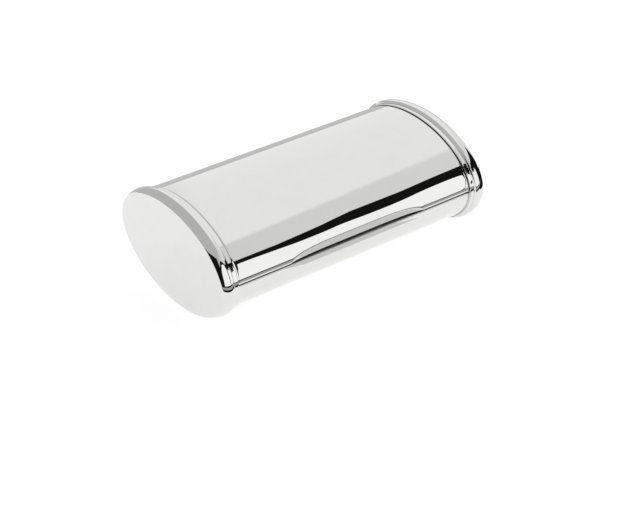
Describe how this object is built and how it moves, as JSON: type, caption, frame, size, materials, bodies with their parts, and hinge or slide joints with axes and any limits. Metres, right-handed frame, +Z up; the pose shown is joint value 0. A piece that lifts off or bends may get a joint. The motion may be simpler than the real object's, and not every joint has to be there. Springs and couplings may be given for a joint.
{
  "type": "bread box with roll-back lid",
  "caption": "Oval tabletop bread box in mirror-polished stainless steel: a rigid curved lid with a finger recess rolls up and back between two rounded end caps.",
  "frame": {"origin": "on the table, under the middle of the box", "axes": "+X to the right along the box, +Y from the front (where the lid's lip is) to the back, +Z up"},
  "size_m": [0.44, 0.257, 0.16],
  "materials": {
    "mirror_steel": "mirror-polished stainless steel sheet",
    "satin_steel": "satin rolled stainless steel sheet",
    "plated_steel": "bright zinc plated",
    "nylon": "natural moulded nylon",
    "rubber": "matt black moulded rubber"
  },
  "bodies": {
    "box": {"body_shell": "mirror_steel", "left_end_cap": "mirror_steel", "left_end_plate": "satin_steel", "left_open_stop": "rubber", "left_cap_screw_1": "plated_steel", "left_cap_screw_2": "plated_steel", "left_cap_screw_3": "plated_steel", "left_cap_screw_4": "plated_steel", "left_pivot_pin": "plated_steel", "left_pivot_spacer": "nylon", "left_pivot_washer": "plated_steel", "left_pivot_nut": "plated_steel", "left_front_bumper": "rubber", "right_end_cap": "mirror_steel", "right_end_plate": "satin_steel", "right_open_stop": "rubber", "right_cap_screw_1": "plated_steel", "right_cap_screw_2": "plated_steel", "right_cap_screw_3": "plated_steel", "right_cap_screw_4": "plated_steel", "right_pivot_pin": "plated_steel", "right_pivot_spacer": "nylon", "right_pivot_washer": "plated_steel", "right_pivot_nut": "plated_steel", "right_front_bumper": "rubber", "front_left_foot": "rubber", "front_left_foot_screw": "plated_steel", "front_right_foot": "rubber", "front_right_foot_screw": "plated_steel", "back_left_foot": "rubber", "back_left_foot_screw": "plated_steel", "back_right_foot": "rubber", "back_right_foot_screw": "plated_steel"},
    "lid": {"lid_shell": "mirror_steel", "left_lid_cheek": "satin_steel", "left_pivot_bush": "nylon", "right_lid_cheek": "satin_steel", "right_pivot_bush": "nylon"}
  },
  "joints": [
    {"name": "lid_hinge", "type": "hinge", "parent": "box", "child": "lid", "pos_m": [0, 0.07976, 0.0815], "axis": [-1, 0, 0], "range_deg": [0, 78]}
  ]
}
